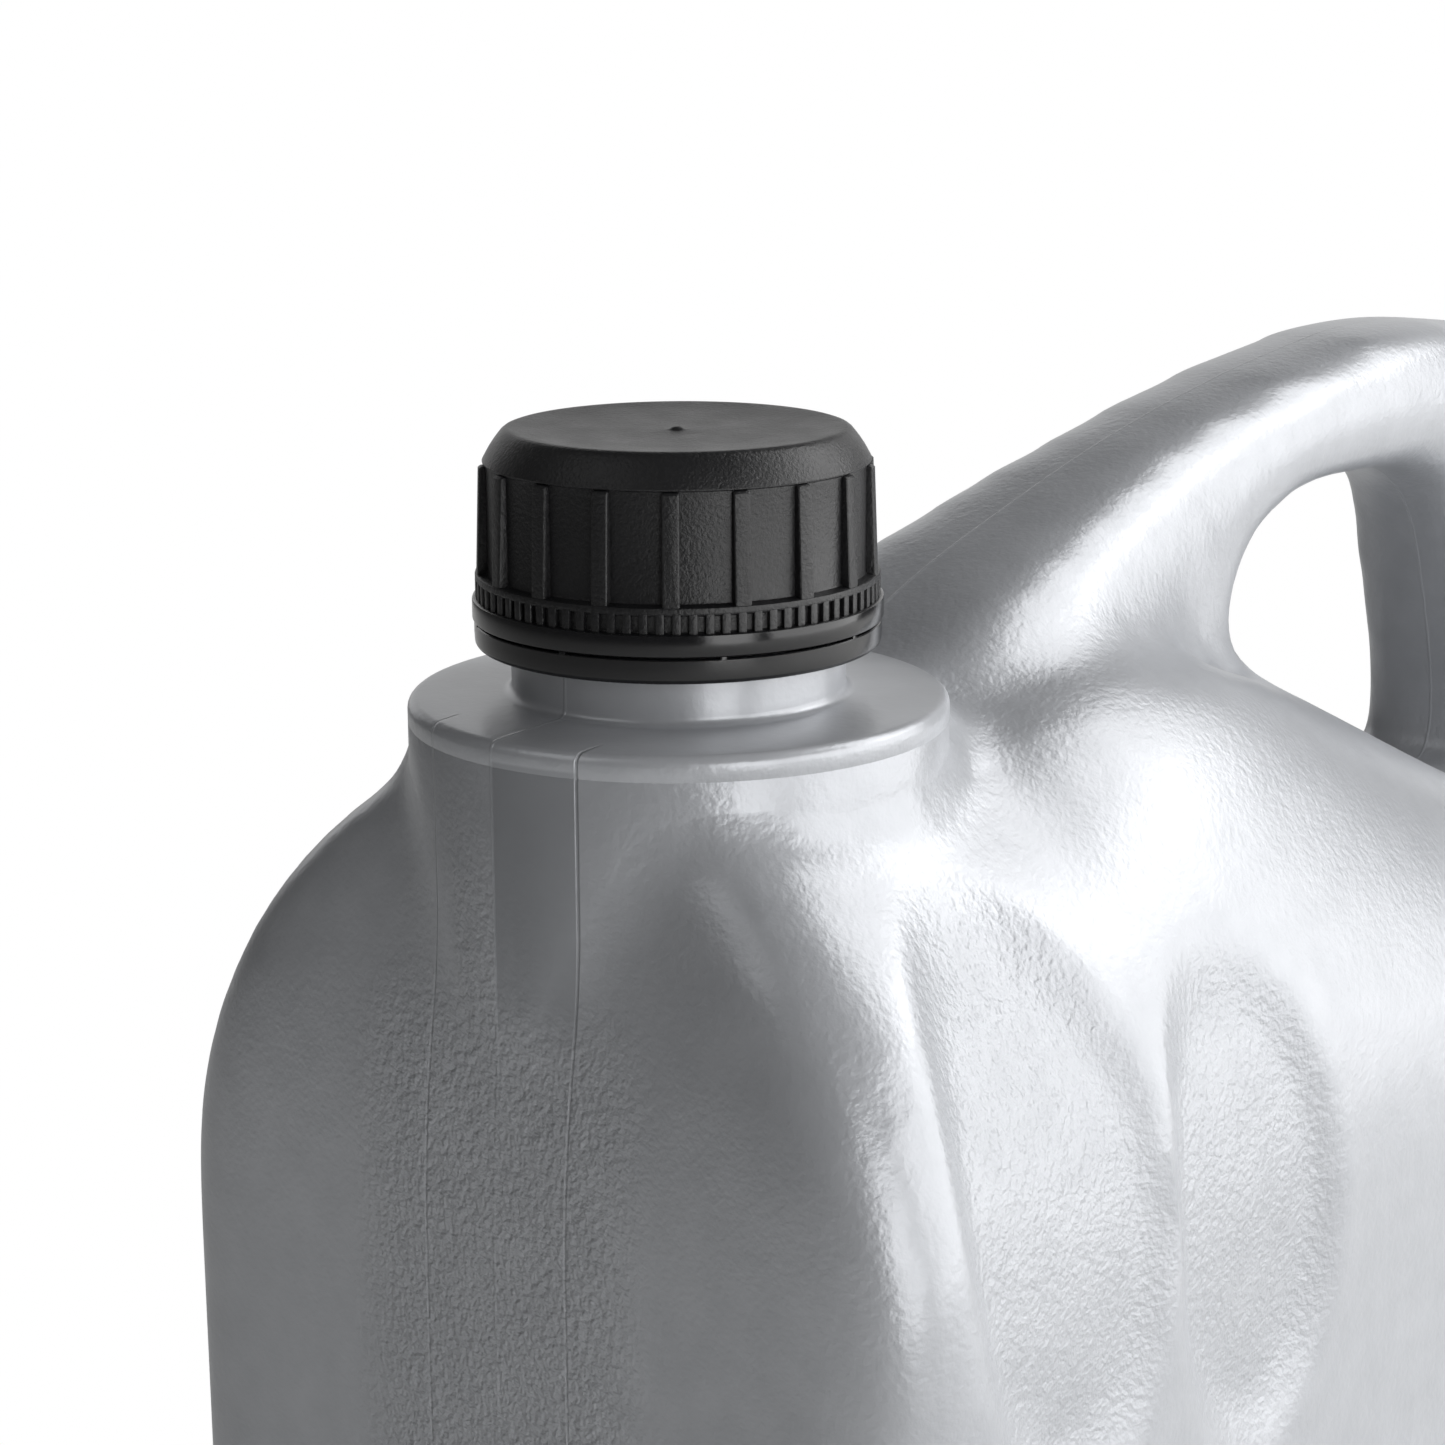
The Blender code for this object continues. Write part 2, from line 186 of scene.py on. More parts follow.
handle = {
    "outline": [(-62, 190), (-61, 216.5), (-53, 221.3), (-23, 231.4), (5.5, 238.7), (37, 244),
                (63, 246.4), (90, 244.6), (108, 240.5), (119, 229), (122, 205), (121, 170),
                (60, 150), (-20, 160)],
    "gap": [(10, 160), (10, 200), (16, 216), (30, 223.5), (55, 224.5), (78, 221), (89, 206), (89, 160)],
    "rootHalfWidth": 20 * mm, "gripHalfWidth": 15 * mm, "taper": (-50 * mm, 10 * mm), "round": 8 * mm,
    "softening": 24, "softAbove": (205 * mm, 222 * mm), "softBehind": (-52 * mm, -36 * mm),
}
neck = {   # radii, and heights above the slit, in mm
    "columnFoot": -46, "platformRadius": 31.8, "platformTop": -9.2, "rimRound": 1.3,
    "seamHeight": -12.1, "seamDepth": 0.08,
    "rootRadius": 19.6, "rootFillet": 1.1, "rootRise": 0.35,
    "threadRadius": 19, "threadRoot": 18.5, "threadCrest": 20.5, "turns": 1.75,
    "bore": 16.8, "lipTop": 18.1, "lipRound": 0.8, "boreDepth": 30, "boreTaper": 4, "steps": 224,
}
grainSizes = {   # 0 is polished and 1 is the coarsest blasting
    "skin": 0.13, "dimpleFloor": 0.42, "frontStrip": 1.0, "neck": 0.05,
    "frontStretch": (-112 * mm, -104 * mm), "lowStretch": (176 * mm, 196 * mm),
    "stripAcross": (13 * mm, 27 * mm), "neckReach": (30 * mm, 33 * mm),
}


def bottleBlock():
    # A rounded plate drawn upwards ring by ring: foot, straight walls, then the elliptical shoulder.
    bpy.ops.object.select_all(action="DESELECT")
    bpy.ops.mesh.primitive_plane_add(size=1, location=(0, 0, 0))
    block = bpy.context.object
    block.name = "bottleBlock"
    editAll(block)
    bpy.ops.transform.translate(value=(0, 0, -bottle["footSpare"]))
    bpy.ops.transform.resize(value=(bottle["length"], bottle["width"], 1))
    bpy.ops.mesh.bevel(affect="VERTICES", offset=bottle["cornerRadius"], segments=8)
    foot, top = bottle["footRadius"], bottle["straightTop"]
    heights = [0.3 * foot, 0.6 * foot, foot, top / 2, top]
    rings = bottle["shoulderRings"]
    heights += [top + bottle["shoulderRise"] * math.sin(math.pi / 2 * i / rings) for i in range(1, rings)]
    low, high, half = -bottle["length"] / 2, bottle["length"] / 2, bottle["width"] / 2

    def sizesAt(z):
        rise = max(z - bottle["straightTop"], 0) / bottle["shoulderRise"]
        climb = max(z - bottle["endRoundStart"], 0) / bottle["endRoundHeight"]
        leanIn = 1 - math.sqrt(1 - climb ** 2)
        foot = max(bottle["footRadius"] - z, 0) / bottle["footRadius"]
        inset = bottle["footRadius"] * (1 - math.sqrt(1 - 0.6 * foot * foot))
        return (-bottle["length"] / 2 + bottle["frontLean"] * leanIn + inset,
                bottle["length"] / 2 - bottle["rearLean"] * leanIn - inset,
                bottle["width"] / 2 * math.sqrt(1 - rise * rise) - inset)

    lastZ = -bottle["footSpare"]
    for i, z in enumerate([0] + heights):
        if i:
            bpy.ops.mesh.extrude_region_move(TRANSFORM_OT_translate={"value": (0, 0, z - lastZ)})
        newLow, newHigh, newHalf = sizesAt(z)
        share = (newHigh - newLow) / (high - low)
        middle = (newLow - share * low) / (1 - share) if abs(1 - share) > 1e-6 else 0
        bpy.ops.transform.resize(value=(share, newHalf / half, 1), center_override=(middle, 0, z))
        low, high, half = newLow, newHigh, newHalf
        if i:
            lastZ = z
    for k in range(-bottle["slices"], bottle["slices"] + 1):
        bpy.ops.mesh.select_all(action="SELECT")
        bpy.ops.mesh.bisect(plane_co=(10 * k * mm, 0, 0), plane_no=(1, 0, 0))
    bpy.ops.mesh.select_all(action="SELECT")
    bpy.ops.mesh.normals_make_consistent(inside=False)
    leaveEdit()
    # The crest swells behind the neck, then falls to make room for the hand.
    top, rise = bottle["straightTop"], bottle["shoulderRise"]
    for vertex in block.data.vertices:
        if vertex.co.z > top:
            crest = (rise + bottle["crestSwell"] * smoothStep(*bottle["swellStretch"], vertex.co.x)
                     - bottle["crestFall"] * smoothStep(*bottle["fallStretch"], vertex.co.x))
            share = (vertex.co.z - top) / rise
            vertex.co.z = top + share * crest
            across = abs(vertex.co.y)
            come, full, leave, gone = bottle["rootStretch"]
            root = share * smoothStep(come, full, vertex.co.x) * smoothStep(gone, leave, vertex.co.x)
            outerFoot, outerTop, innerTop, innerFoot = bottle["humpAcross"]
            hump = smoothStep(outerFoot, outerTop, across) * smoothStep(innerFoot, innerTop, across)
            valley = smoothStep(*bottle["valleyAcross"], across)
            vertex.co.z += root * (bottle["humpRise"] * hump - bottle["valleyDepth"] * valley)
    return block


def handleBlock():
    # The handle's side view with its finger gap, thickened and rounded along both sides.
    curve = bpy.data.curves.new("handleBlock", "CURVE")
    curve.dimensions = "2D"
    curve.fill_mode = "BOTH"
    curve.resolution_u = 12
    curve.bevel_depth = handle["round"]
    curve.bevel_resolution = 4
    curve.offset = -handle["round"]
    curve.extrude = handle["rootHalfWidth"] - handle["round"]
    for outline in (handle["outline"], handle["gap"]):
        spline = curve.splines.new("BEZIER")
        spline.bezier_points.add(len(outline) - 1)
        spline.use_cyclic_u = True
        for point, (x, z) in zip(spline.bezier_points, outline):
            point.co = (x * mm, z * mm, 0)
            point.handle_left_type = point.handle_right_type = "AUTO"
    block = bpy.data.objects.new("handleBlock", curve)
    bpy.context.scene.collection.objects.link(block)
    block.rotation_euler = (math.pi / 2, 0, 0)
    pick(block)
    bpy.ops.object.convert(target="MESH")
    bpy.ops.object.transform_apply(location=True, rotation=True, scale=True)
    block = bpy.context.object
    editAll(block)
    bpy.ops.mesh.remove_doubles(threshold=0.01 * mm)
    bpy.ops.mesh.normals_make_consistent(inside=False)
    leaveEdit()
    narrowing = 1 - handle["gripHalfWidth"] / handle["rootHalfWidth"]
    for vertex in block.data.vertices:
        vertex.co.y *= 1 - narrowing * smoothStep(*handle["taper"], vertex.co.x)
    return block


def dimpleShare(co):
    # 1 on the floor of a side dimple, 0 outside it.
    share = 0.0
    for x, z, halfLength, halfHeight in bottle["dimples"]:
        reach = math.hypot((co.x / mm - x) / halfLength, (co.z / mm - z) / halfHeight)
        share = max(share, 1 - smoothStep(*bottle["dimpleWall"], reach))
    return share * smoothStep(*bottle["dimpleSide"], abs(co.y))


def neckBlock():
    # From the boss up: its rim, the platform, the neck's root, the tamper bead, then the threaded wall.
    outer, top, rim = neck["platformRadius"], neck["platformTop"], neck["rimRound"]
    seam = neck["seamHeight"]
    root, fillet, rootTop = neck["rootRadius"], neck["rootFillet"], top + neck["rootRise"]
    wall, lip, lipTop = neck["threadRadius"], neck["lipRound"], neck["lipTop"]
    profile = [(0, neck["columnFoot"]), (outer, neck["columnFoot"]), (outer, seam - 0.2),
               (outer - neck["seamDepth"], seam - 0.05), (outer - neck["seamDepth"], seam + 0.05),
               (outer, seam + 0.2)]
    profile += arcPoints((outer - rim, top - rim), rim, 0, 90)
    profile += [(29, top + 0.1), (root + fillet + 0.6, rootTop)]
    profile += arcPoints((root + fillet, rootTop + fillet), fillet, 270, 180, 5)
    profile += [(root, -1.1), (21.4, -1.1), (21.65, -0.9), (21.7, -0.3), (21.2, 0.2), (20, 0.9),
                (wall, 1.5), (wall, 16.9)]
    profile += arcPoints((wall - lip, lipTop - lip), lip, 0, 90, 4)
    profile += [(0, lipTop)]
    block = spinProfile("neckBlock", profile, neck["steps"])
    ridge = helixRidge("neckThread", neck["threadRoot"], neck["threadCrest"],
                       thread["start"], neck["turns"])
    cutOrJoin(block, ridge, "UNION")
    return block


def makeBottle():
    skin = bottleBlock()
    bpy.ops.object.select_all(action="DESELECT")
    bossTop = slitZ + (neck["platformTop"] - 1) * mm
    bpy.ops.mesh.primitive_cylinder_add(
        vertices=96, radius=neck["platformRadius"] * mm + bottle["bossSpare"], depth=bottle["bossHeight"],
        location=(neckX, 0, bossTop - bottle["bossHeight"] / 2))
    boss = bpy.context.object
    grip = handleBlock()
    pick(skin)
    boss.select_set(True)
    grip.select_set(True)
    bpy.ops.object.join()
    applyModifier(skin, "REMESH", mode="VOXEL", voxel_size=bottle["voxel"])
    applyModifier(skin, "SMOOTH", factor=0.5, iterations=bottle["softening"])
    onHandle = skin.vertex_groups.new(name="onHandle")
    for vertex in skin.data.vertices:
        share = (smoothStep(*handle["softAbove"], vertex.co.z)
                 * smoothStep(*handle["softBehind"], vertex.co.x))
        onHandle.add([vertex.index], share, "REPLACE")
    applyModifier(skin, "SMOOTH", factor=0.5, iterations=handle["softening"], vertex_group="onHandle")
    applyModifier(skin, "SUBSURF", levels=1, render_levels=1)
    normals = [vertex.normal.copy() for vertex in skin.data.vertices]
    for vertex, normal in zip(skin.data.vertices, normals):
        vertex.co -= normal * (bottle["dimpleDepth"] * dimpleShare(vertex.co))
    cutOrJoin(skin, neckBlock(), "UNION")

    # A flat foot with a shallow recess, so that the bottle stands on a ring.
    bpy.ops.object.select_all(action="DESELECT")
    bpy.ops.mesh.primitive_cube_add(size=1, location=(0, 0, -10 * mm), scale=(0.4, 0.3, 0.02))
    cutOrJoin(skin, bpy.context.object, "DIFFERENCE")
    bpy.ops.object.select_all(action="DESELECT")
    bpy.ops.mesh.primitive_cube_add(size=1, location=(0, 0, 0), scale=(
        bottle["length"] - 2 * bottle["footRing"], bottle["width"] - 2 * bottle["footRing"],
        2 * bottle["footRecess"]))
    recess = bpy.context.object
    bpy.ops.object.transform_apply(location=False, rotation=False, scale=True)
    applyModifier(recess, "BEVEL", width=bottle["recessRound"], segments=4)
    cutOrJoin(skin, recess, "DIFFERENCE")

    # The mouth is a blind bore that ends out of sight: the bottle's inside isn't drawn.
    bore, lip, lipTop = neck["bore"], neck["lipRound"], neck["lipTop"]
    boreEnd = lipTop - neck["boreDepth"] - 10
    mouth = [(0, boreEnd - neck["boreTaper"]), (bore - 3, boreEnd - neck["boreTaper"]), (bore, boreEnd),
             (bore, lipTop - lip), (bore + lip, lipTop + 0.1), (bore + lip, lipTop + 2), (0, lipTop + 2)]
    cutOrJoin(skin, spinProfile("mouth", mouth, 96), "DIFFERENCE")
    skin.name = "bottleShell"
    settle(skin, 32)
    return skin


def addGrain(piece):
    # How coarse the mould's blasting is at each point of the bottle.
    sizes = grainSizes
    grain = piece.data.attributes.new("grain", "FLOAT", "POINT")
    for vertex in piece.data.vertices:
        co = vertex.co
        value = sizes["skin"] + sizes["dimpleFloor"] * dimpleShare(co)
        front = 1 - smoothStep(*sizes["frontStretch"], co.x)
        low = 1 - smoothStep(*sizes["lowStretch"], co.z)
        strip = 1 - smoothStep(*sizes["stripAcross"], abs(co.y))
        value = max(value, sizes["frontStrip"] * front * low * strip)
        onNeck = 1 - smoothStep(*sizes["neckReach"], math.hypot(co.x - neckX, co.y))
        if co.z > slitZ + (neck["platformTop"] - 1.2) * mm:
            value = value * (1 - onNeck) + sizes["neck"] * onNeck
        grain.data[vertex.index].value = value


bottleShell = makeBottle()
addGrain(bottleShell)
print("bottle shell:", len(bottleShell.data.polygons), "faces")

# A ribbed cap over a ring of teeth, and the tear band below its slit. Radii and heights in mm.
cap = {
    "bore": 21, "plateUnderside": 20.3, "panelRadius": 22.3, "steps": 240,
    "threadRoot": 21.4, "threadCrest": 19.5, "threadDrop": 2.1, "turns": 1.5,
    "ribs": 18, "firstRib": -141, "ribWidth": 2.0, "ribInner": 21.7, "ribCrest": 23.45,
    "ribFoot": 4.8, "ribTop": 18.1, "ribRound": 0.28, "ribSlope": 1.6, "ribLean": 0.42,
    "teeth": 80, "toothWidth": 1.0, "toothInner": 22.8, "toothCrest": 23.6,
    "toothFoot": 2.3, "toothTop": 4.85, "toothRound": 0.16,
}
band = {
    "top": -0.3, "bottom": -3.15, "radius": 23.8, "inner": 22.4, "footRound": 0.7, "steps": 240,
    "bridges": 8, "firstBridge": -127, "bridgeWidth": 0.8, "bridgeTop": -0.04, "bridgeRound": 0.06,
}


def polarCopies(block, count, firstDegrees):
    # Turn copies of one block round the neck's axis, each with its own mesh, and join them.
    centre = Matrix.Translation((neckX, 0, 0))
    copies = []
    for k in range(count):
        turn = Matrix.Rotation(math.radians(firstDegrees) + 2 * math.pi * k / count, 4, "Z")
        copy = block.copy()
        copy.data = block.data.copy()
        copy.data.transform(centre @ turn @ centre.inverted())
        bpy.context.scene.collection.objects.link(copy)
        copies.append(copy)
    bpy.data.objects.remove(block)
    pick(copies[0])
    for copy in copies[1:]:
        copy.select_set(True)
    bpy.ops.object.join()
    return bpy.context.object


def radialBlock(name, inner, outer, width, low, high, bevel, segments):
    # One block on the +X side of the neck's axis, with its edges rounded.
    bpy.ops.object.select_all(action="DESELECT")
    bpy.ops.mesh.primitive_cube_add(size=1, location=(
        neckX + (inner + outer) / 2 * mm, 0, slitZ + (low + high) / 2 * mm),
        scale=((outer - inner) * mm, width * mm, (high - low) * mm))
    block = bpy.context.object
    block.name = name
    bpy.ops.object.transform_apply(location=True, rotation=True, scale=True)
    applyModifier(block, "BEVEL", width=bevel * mm, segments=segments)
    return block


def makeCap():
    # The profile in four runs: the dished top, its rolled rim, the outside down to the slit, the inside.
    dish = [(0, 21.98), (0.3, 21.97), (0.6, 21.86), (0.85, 21.68), (1.3, 21.6), (5, 21.58), (10, 21.62),
            (14, 21.74), (17, 21.92), (18.4, 22.03)]
    rim = [(19.2, 22.1), (19.6, 22.08), (20.0, 21.95), (20.35, 21.68), (20.7, 21.25), (21.2, 20.6),
           (21.7, 19.85), (22.1, 19.15), (22.4, 18.6), (22.5, 18.4), (22.48, 18.25)]
    skirt = [(22.3, 18.1), (22.3, 5.95), (22.4, 5.7), (22.6, 5.6), (23.35, 5.5), (23.54, 5.4),
             (23.6, 5.2), (23.6, 4.8), (23.5, 4.62), (23.1, 4.56), (23.0, 4.4), (23.0, 2.7),
             (23.1, 2.58), (23.8, 2.5), (23.95, 2.42), (24, 2.25), (24, 0.2), (23.94, 0.06), (23.8, 0)]
    bore, plate = cap["bore"], cap["plateUnderside"]
    inside = [(22.6, 0), (22.4, 0.2), (22.4, 2), (bore, 2.8), (bore, plate - 0.6), (bore - 0.6, plate),
              (0, plate)]
    piece = spinProfile("screwCap", dish + rim + skirt + inside, cap["steps"])
    ridge = helixRidge("capThread", cap["threadRoot"], cap["threadCrest"],
                       thread["start"] - cap["threadDrop"], cap["turns"])
    cutOrJoin(piece, ridge, "UNION")

    rib = radialBlock("rib", cap["ribInner"], cap["ribCrest"], cap["ribWidth"], cap["ribFoot"],
                      cap["ribTop"], cap["ribRound"], 3)
    for vertex in rib.data.vertices:      # the rib's top slopes back into the collar
        over = (vertex.co.z - slitZ) / mm - (cap["ribTop"] - cap["ribSlope"])
        if over > 0 and vertex.co.x > neckX + cap["panelRadius"] * mm:
            vertex.co.x -= cap["ribLean"] * over * over / cap["ribSlope"] * mm
    cutOrJoin(piece, polarCopies(rib, cap["ribs"], cap["firstRib"]), "UNION")
    tooth = radialBlock("tooth", cap["toothInner"], cap["toothCrest"], cap["toothWidth"],
                        cap["toothFoot"], cap["toothTop"], cap["toothRound"], 2)
    cutOrJoin(piece, polarCopies(tooth, cap["teeth"], 0), "UNION")
    settle(piece, 28)
    return piece


def makeBand():
    # A closed ring with a lip inside, that catches under the neck's bead.
    top, bottom, radius, inner = band["top"], band["bottom"], band["radius"], band["inner"]
    profile = [(radius - 0.12, top), (inner + 0.15, top), (inner, top - 0.15), (inner, -1.9),
               (20.95, -1.42), (20.8, -1.5), (20.8, -1.9), (20.9, -2.05), (22.2, bottom), (22.5, bottom)]
    foot = band["footRound"]
    profile += arcPoints((radius - foot - 0.05, bottom + foot), foot, 270, 360, 6)
    profile += [(radius, -1.5), (radius, top - 0.12)]
    piece = spinProfile("tearBand", profile, band["steps"], closed=True)
    bridge = radialBlock("bridge", radius - 0.9, radius - 0.02, band["bridgeWidth"], top - 0.3,
                         band["bridgeTop"], band["bridgeRound"], 2)
    cutOrJoin(piece, polarCopies(bridge, band["bridges"], band["firstBridge"]), "UNION")
    settle(piece, 30)
    return piece


screwCap = makeCap()
print("screw cap:", len(screwCap.data.polygons), "faces")
tearBand = makeBand()
print("tear band:", len(tearBand.data.polygons), "faces")


def hexColour(code):
    channels = [int(code[i:i + 2], 16) / 255 for i in (1, 3, 5)]
    return tuple(c / 12.92 if c <= 0.04045 else ((c + 0.055) / 1.055) ** 2.4 for c in channels) + (1.0,)


def addNode(tree, kind, inputs=None, **settings):
    node = tree.nodes.new("ShaderNode" + kind)
    for name, value in settings.items():
        setattr(node, name, value)
    for name, value in (inputs or {}).items():
        if isinstance(value, bpy.types.NodeSocket):
            tree.links.new(value, node.inputs[name])
        else:
            node.inputs[name].default_value = value
    return node


def newMaterial(name, **sockets):
    material = bpy.data.materials.new(name)
    material.use_nodes = True
    shader = material.node_tree.nodes["Principled BSDF"]
    for socket, value in sockets.items():
        shader.inputs[socket.replace("_", " ")].default_value = value
    return material, material.node_tree, shader


def calculate(tree, operation, a, b=0.0, c=0.0):
    return addNode(tree, "Math", {0: a, 1: b, 2: c}, operation=operation).outputs[0]


def ramp(tree, value, low, high, toLow=0.0, toHigh=1.0):
    return addNode(tree, "MapRange", {"Value": value, "From Min": low, "From Max": high, "To Min": toLow,
                                      "To Max": toHigh}, interpolation_type="SMOOTHSTEP").outputs[0]


def mixColours(tree, share, first, second):
    # Sockets 6, 7 and 2 are the mix node's colour inputs and its colour output.
    return addNode(tree, "Mix", {"Factor": share, 6: first, 7: second}, data_type="RGBA").outputs[2]


hdpe = {
    "colour": "#A4A6AA", "flake": "#B4B6BA", "polished": "#85878B", "metallic": 0.30,
    "roughness": 0.36, "smoother": 0.05, "rougher": 0.1,
    "grainSize": 1.05 * mm, "fineSize": 0.42 * mm, "cloudSize": 6 * mm, "grainDepth": 0.55 * mm,
    "stripHalf": 11 * mm, "stripFront": -118 * mm, "stripLow": 186 * mm,
    "stripEnds": (11.6 * mm, 11.2 * mm),
    "lineCore": 0.08 * mm, "edgeCore": 0.05 * mm, "lineHalf": 0.28 * mm, "seamRise": 0.08, "edgeDrop": 0.2,
}


def silverHdpe():
    # Blow-moulded high-density polyethylene with aluminium pigment, from a sand-blasted mould:
    # a satin grey that goes bright towards the light, over a soft leathery grain.
    material, tree, shader = newMaterial("silverHdpe", Metallic=hdpe["metallic"], IOR=1.5)
    place = addNode(tree, "TexCoord").outputs["Object"]
    grain = addNode(tree, "Attribute", attribute_name="grain").outputs["Fac"]
    axes = addNode(tree, "SeparateXYZ", {"Vector": place}).outputs
    across = calculate(tree, "ABSOLUTE", axes["Y"])

    # The mould's insert down the front is polished on one half, from the boss's rim to the coarse grain.
    blend, left, low = 0.3 * mm, -hdpe["stripHalf"], hdpe["stripLow"]
    front = ramp(tree, axes["X"], hdpe["stripFront"] - mm, hdpe["stripFront"] + mm, 1.0, 0.0)
    polishedHalf = calculate(tree, "MULTIPLY", ramp(tree, axes["Y"], left - blend, left + blend),
                             ramp(tree, axes["Y"], -blend, blend, 1.0, 0.0))
    fadeOut, gone = hdpe["stripEnds"]
    column = calculate(tree, "MULTIPLY", ramp(tree, axes["Z"], low - 5 * mm, low + 5 * mm),
                       ramp(tree, axes["Z"], slitZ - fadeOut, slitZ - gone, 1, 0))
    polished = calculate(tree, "MULTIPLY", calculate(tree, "MULTIPLY", polishedHalf, front), column)

    coarse = addNode(tree, "TexNoise", {"Vector": place, "Scale": 1 / hdpe["grainSize"], "Detail": 1.5,
                                        "Roughness": 0.45}).outputs["Fac"]
    fine = addNode(tree, "TexNoise", {"Vector": place, "Scale": 1 / hdpe["fineSize"],
                                      "Detail": 1.0}).outputs["Fac"]
    heights = calculate(tree, "MULTIPLY_ADD", fine, 0.35, coarse)
    share = calculate(tree, "MULTIPLY", grain, calculate(tree, "MULTIPLY_ADD", polished, -0.85, 1.0))
    relief = calculate(tree, "MULTIPLY", heights, share)

    # The mould's parting line, and the edges of the insert.
    seam = ramp(tree, across, hdpe["lineCore"], hdpe["lineHalf"], hdpe["seamRise"], 0.0)
    offEdge = calculate(tree, "ABSOLUTE", calculate(tree, "SUBTRACT", across, hdpe["stripHalf"]))
    edge = calculate(tree, "MULTIPLY", ramp(tree, offEdge, hdpe["edgeCore"], hdpe["lineHalf"],
                                            hdpe["edgeDrop"], 0.0), front)
    relief = calculate(tree, "SUBTRACT", calculate(tree, "ADD", relief, seam), edge)
    bump = addNode(tree, "Bump", {"Height": relief, "Strength": 1.0, "Distance": hdpe["grainDepth"]})
    tree.links.new(bump.outputs["Normal"], shader.inputs["Normal"])

    cloud = addNode(tree, "TexNoise", {"Vector": place, "Scale": 1 / hdpe["cloudSize"],
                                       "Detail": 3.0}).outputs["Fac"]
    colour = mixColours(tree, cloud, hexColour(hdpe["colour"]), hexColour(hdpe["flake"]))
    darkened = mixColours(tree, calculate(tree, "MULTIPLY", polished, 0.55), colour,
                          hexColour(hdpe["polished"]))
    tree.links.new(darkened, shader.inputs["Base Color"])
    tree.links.new(ramp(tree, share, 0.0, 1.0, hdpe["roughness"] - hdpe["smoother"],
                        hdpe["roughness"] + hdpe["rougher"]), shader.inputs["Roughness"])
    return material


blackPp = {
    "colour": "#09090A", "speck": "#19191B", "speckSize": 0.45 * mm, "flowSize": 5 * mm,
    "grainDepth": 0.11 * mm, "matte": 0.4, "polished": 0.16, "flowSpread": 0.14,
    "flangeTop": 2.5 * mm, "blend": 0.2 * mm,
}


def blackPolypropylene():
    # Injection-moulded black polypropylene: spark-eroded grain on the grip, polished tool steel below it.
    material, tree, shader = newMaterial("blackPolypropylene", IOR=1.49)
    place = addNode(tree, "TexCoord").outputs["Object"]
    height = addNode(tree, "SeparateXYZ", {"Vector": place}).outputs["Z"]
    edge = slitZ + blackPp["flangeTop"]
    grip = ramp(tree, height, edge - blackPp["blend"], edge + blackPp["blend"])
    speck = addNode(tree, "TexNoise", {"Vector": place, "Scale": 1 / blackPp["speckSize"], "Detail": 3.0,
                                       "Roughness": 0.6}).outputs["Fac"]
    flow = addNode(tree, "TexNoise", {"Vector": place, "Scale": 1 / blackPp["flowSize"],
                                      "Detail": 2.0}).outputs["Fac"]
    grain = calculate(tree, "MULTIPLY", speck, ramp(tree, grip, 0, 1, 0.08, 1.0))
    bump = addNode(tree, "Bump", {"Height": grain, "Strength": 1.0, "Distance": blackPp["grainDepth"]})
    tree.links.new(bump.outputs["Normal"], shader.inputs["Normal"])
    rough = ramp(tree, grip, 0, 1, blackPp["polished"], blackPp["matte"])
    base = calculate(tree, "SUBTRACT", rough, blackPp["flowSpread"] / 2)
    tree.links.new(calculate(tree, "MULTIPLY_ADD", flow, blackPp["flowSpread"], base),
                   shader.inputs["Roughness"])
    tree.links.new(mixColours(tree, speck, hexColour(blackPp["colour"]), hexColour(blackPp["speck"])),
                   shader.inputs["Base Color"])
    return material


def foamedPolyethylene():
    # White closed-cell polyethylene foam, skived from a block: matt, with fine open pores.
    material, tree, shader = newMaterial("foamedPolyethylene", Roughness=0.8, IOR=1.5)
    place = addNode(tree, "TexCoord").outputs["Object"]
    cells = addNode(tree, "TexVoronoi", {"Vector": place, "Scale": 1 / (0.4 * mm)}).outputs["Distance"]
    tree.links.new(mixColours(tree, cells, hexColour("#D8D7D2"), hexColour("#F1F0EC")),
                   shader.inputs["Base Color"])
    bump = addNode(tree, "Bump", {"Height": cells, "Strength": 0.6, "Distance": 0.1 * mm})
    tree.links.new(bump.outputs["Normal"], shader.inputs["Normal"])
    return material


def aluminiumFoil():
    # Rolled aluminium foil: bright, with the faint streaks of the mill's rolls.
    material, tree, shader = newMaterial("aluminiumFoil", Metallic=1.0)
    place = addNode(tree, "TexCoord").outputs["Object"]
    along = addNode(tree, "Mapping", {"Vector": place, "Scale": (60, 4000, 60)}).outputs["Vector"]
    streaks = addNode(tree, "TexNoise", {"Vector": along, "Scale": 1.0, "Detail": 2.0}).outputs["Fac"]
    tree.links.new(ramp(tree, streaks, 0, 1, 0.22, 0.38), shader.inputs["Roughness"])
    shader.inputs["Base Color"].default_value = hexColour("#DCDDDF")
    bump = addNode(tree, "Bump", {"Height": streaks, "Strength": 0.3, "Distance": 0.02 * mm})
    tree.links.new(bump.outputs["Normal"], shader.inputs["Normal"])
    return material


def finish(piece, material):
    piece.data.materials.clear()
    piece.data.materials.append(material)


blackPlastic = blackPolypropylene()
finish(bottleShell, silverHdpe())
finish(screwCap, blackPlastic)
finish(tearBand, blackPlastic)
finish(frame["nodes"]["liner_board"], foamedPolyethylene())
finish(frame["nodes"]["liner_foil"], aluminiumFoil())
print("finishes done")

for piece, body, node, slot in ((bottleShell, "can", "can_body", "can"),
                                (screwCap, "closure", "cap", "cap"),
                                (tearBand, "band", "tamper_band", "band")):
    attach(piece, body)
    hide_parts(node)


